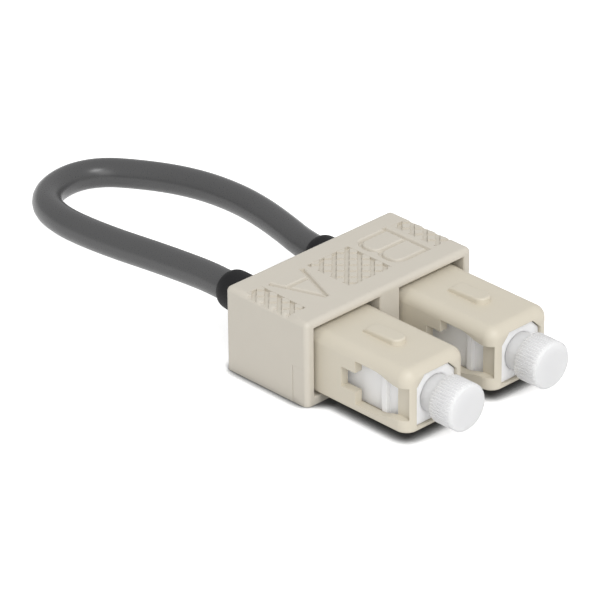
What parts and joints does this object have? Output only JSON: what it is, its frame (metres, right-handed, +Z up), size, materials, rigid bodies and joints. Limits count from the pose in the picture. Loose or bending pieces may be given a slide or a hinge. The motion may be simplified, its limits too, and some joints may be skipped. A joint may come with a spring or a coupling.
{
  "type": "fibre loopback cable",
  "caption": "Short fibre loop that joins a pair of square push-pull plugs, held side by side in one clip, with dust caps on the ferrules; for testing a fibre port.",
  "frame": {"origin": "middle of the clip's flat underside", "axes": "+Z up, the plugs point to -Y and the cable loop to +Y, +X runs from plug A to plug B"},
  "size_m": [0.0248, 0.0698, 0.01],
  "materials": {
    "clip_plastic": "fine satin",
    "housing_plastic": "satin",
    "frame_plastic": "satin",
    "cap_plastic": "matt",
    "boot_rubber": "matt",
    "cable_jacket": "satin",
    "fibre_buffer": "satin",
    "ferrule_ceramic": "polished",
    "nickel_metal": "plated",
    "spring_steel": "drawn wire",
    "rear_plastic": "satin",
    "crimp_metal": "drawn tube"
  },
  "bodies": {
    "clip": {"duplex_clip": "clip_plastic", "outer_housing_a": "housing_plastic", "outer_housing_b": "housing_plastic"},
    "cable_assembly": {"cable": "cable_jacket", "plug_frame_a": "frame_plastic", "rear_body_a": "rear_plastic", "crimp_ring_a": "crimp_metal", "boot_a": "boot_rubber", "fibre_a": "fibre_buffer", "ferrule_spring_a": "spring_steel", "plug_frame_b": "frame_plastic", "rear_body_b": "rear_plastic", "crimp_ring_b": "crimp_metal", "boot_b": "boot_rubber", "fibre_b": "fibre_buffer", "ferrule_spring_b": "spring_steel"},
    "ferrule_a": {"ferrule_a": "ferrule_ceramic", "ferrule_holder_a": "nickel_metal"},
    "cap_a": {"dust_cap_a": "cap_plastic"},
    "ferrule_b": {"ferrule_b": "ferrule_ceramic", "ferrule_holder_b": "nickel_metal"},
    "cap_b": {"dust_cap_b": "cap_plastic"}
  },
  "joints": [
    {"name": "push_pull", "type": "slide", "parent": "clip", "child": "cable_assembly", "axis": [0, -1, 0], "range_m": [0, 0.0015]},
    {"name": "ferrule_a_float", "type": "slide", "parent": "cable_assembly", "child": "ferrule_a", "axis": [0, 1, 0], "range_m": [0, 0.0008], "stiffness_N_per_m": 1000, "deforming": ["ferrule_spring_a"]},
    {"name": "cap_a_pull", "type": "slide", "parent": "cable_assembly", "child": "cap_a", "axis": [0, -1, 0], "range_m": [0, 0.01]},
    {"name": "ferrule_b_float", "type": "slide", "parent": "cable_assembly", "child": "ferrule_b", "axis": [0, 1, 0], "range_m": [0, 0.0008], "stiffness_N_per_m": 1000, "deforming": ["ferrule_spring_b"]},
    {"name": "cap_b_pull", "type": "slide", "parent": "cable_assembly", "child": "cap_b", "axis": [0, -1, 0], "range_m": [0, 0.01]}
  ]
}
